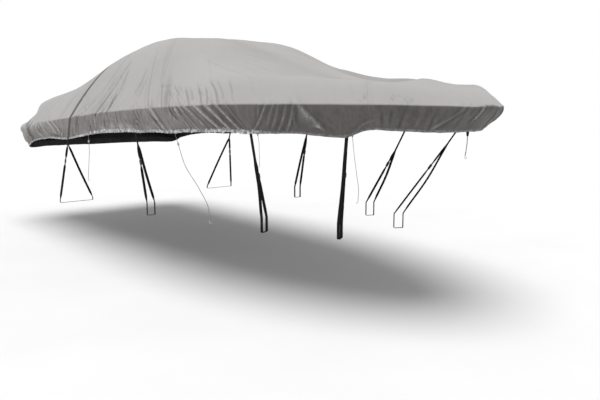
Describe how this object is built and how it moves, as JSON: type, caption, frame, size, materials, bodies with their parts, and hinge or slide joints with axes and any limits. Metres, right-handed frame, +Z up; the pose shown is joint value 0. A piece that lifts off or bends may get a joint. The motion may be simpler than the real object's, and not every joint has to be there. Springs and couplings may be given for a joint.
{
  "type": "fitted boat cover",
  "caption": "Grey fitted boat cover of coated cloth with a gathered elastic hem, black tie-down straps with buckles, thin tie cords with locks and hooks, and a bow tie.",
  "frame": {"origin": "underside of the cloth at the crown, where the support pole holds the cover up", "axes": "+X toward the bow, +Y to port, +Z up"},
  "size_m": [6.6007, 2.4038, 1.8322],
  "materials": {
    "cover_cloth": "matte coated polyester",
    "black_webbing": "woven webbing",
    "black_plastic": "moulded",
    "grey_cord": "braided cord",
    "grey_plastic": "moulded",
    "galvanised_wire": "dull zinc"
  },
  "bodies": {
    "root": {"panel_stern": "cover_cloth", "panel_aft": "cover_cloth", "panel_fore": "cover_cloth", "panel_bow": "cover_cloth", "strap_starboard_1": "black_webbing", "buckle_starboard_1": "black_plastic", "strap_starboard_2": "black_webbing", "buckle_starboard_2": "black_plastic", "strap_starboard_3": "black_webbing", "buckle_starboard_3": "black_plastic", "strap_starboard_4": "black_webbing", "buckle_starboard_4": "black_plastic", "cord_starboard_1": "grey_cord", "cord_lock_starboard_1": "grey_plastic", "hook_starboard_1": "galvanised_wire", "cord_starboard_2": "grey_cord", "cord_lock_starboard_2": "grey_plastic", "hook_starboard_2": "galvanised_wire", "strap_port_1": "black_webbing", "buckle_port_1": "black_plastic", "strap_port_2": "black_webbing", "buckle_port_2": "black_plastic", "strap_port_3": "black_webbing", "buckle_port_3": "black_plastic", "strap_port_4": "black_webbing", "buckle_port_4": "black_plastic", "cord_port_1": "grey_cord", "cord_lock_port_1": "grey_plastic", "hook_port_1": "galvanised_wire", "cord_port_2": "grey_cord", "cord_lock_port_2": "grey_plastic", "hook_port_2": "galvanised_wire", "bow_loop": "black_webbing", "bow_cord": "grey_cord", "bow_hook": "galvanised_wire"}
  },
  "joints": []
}
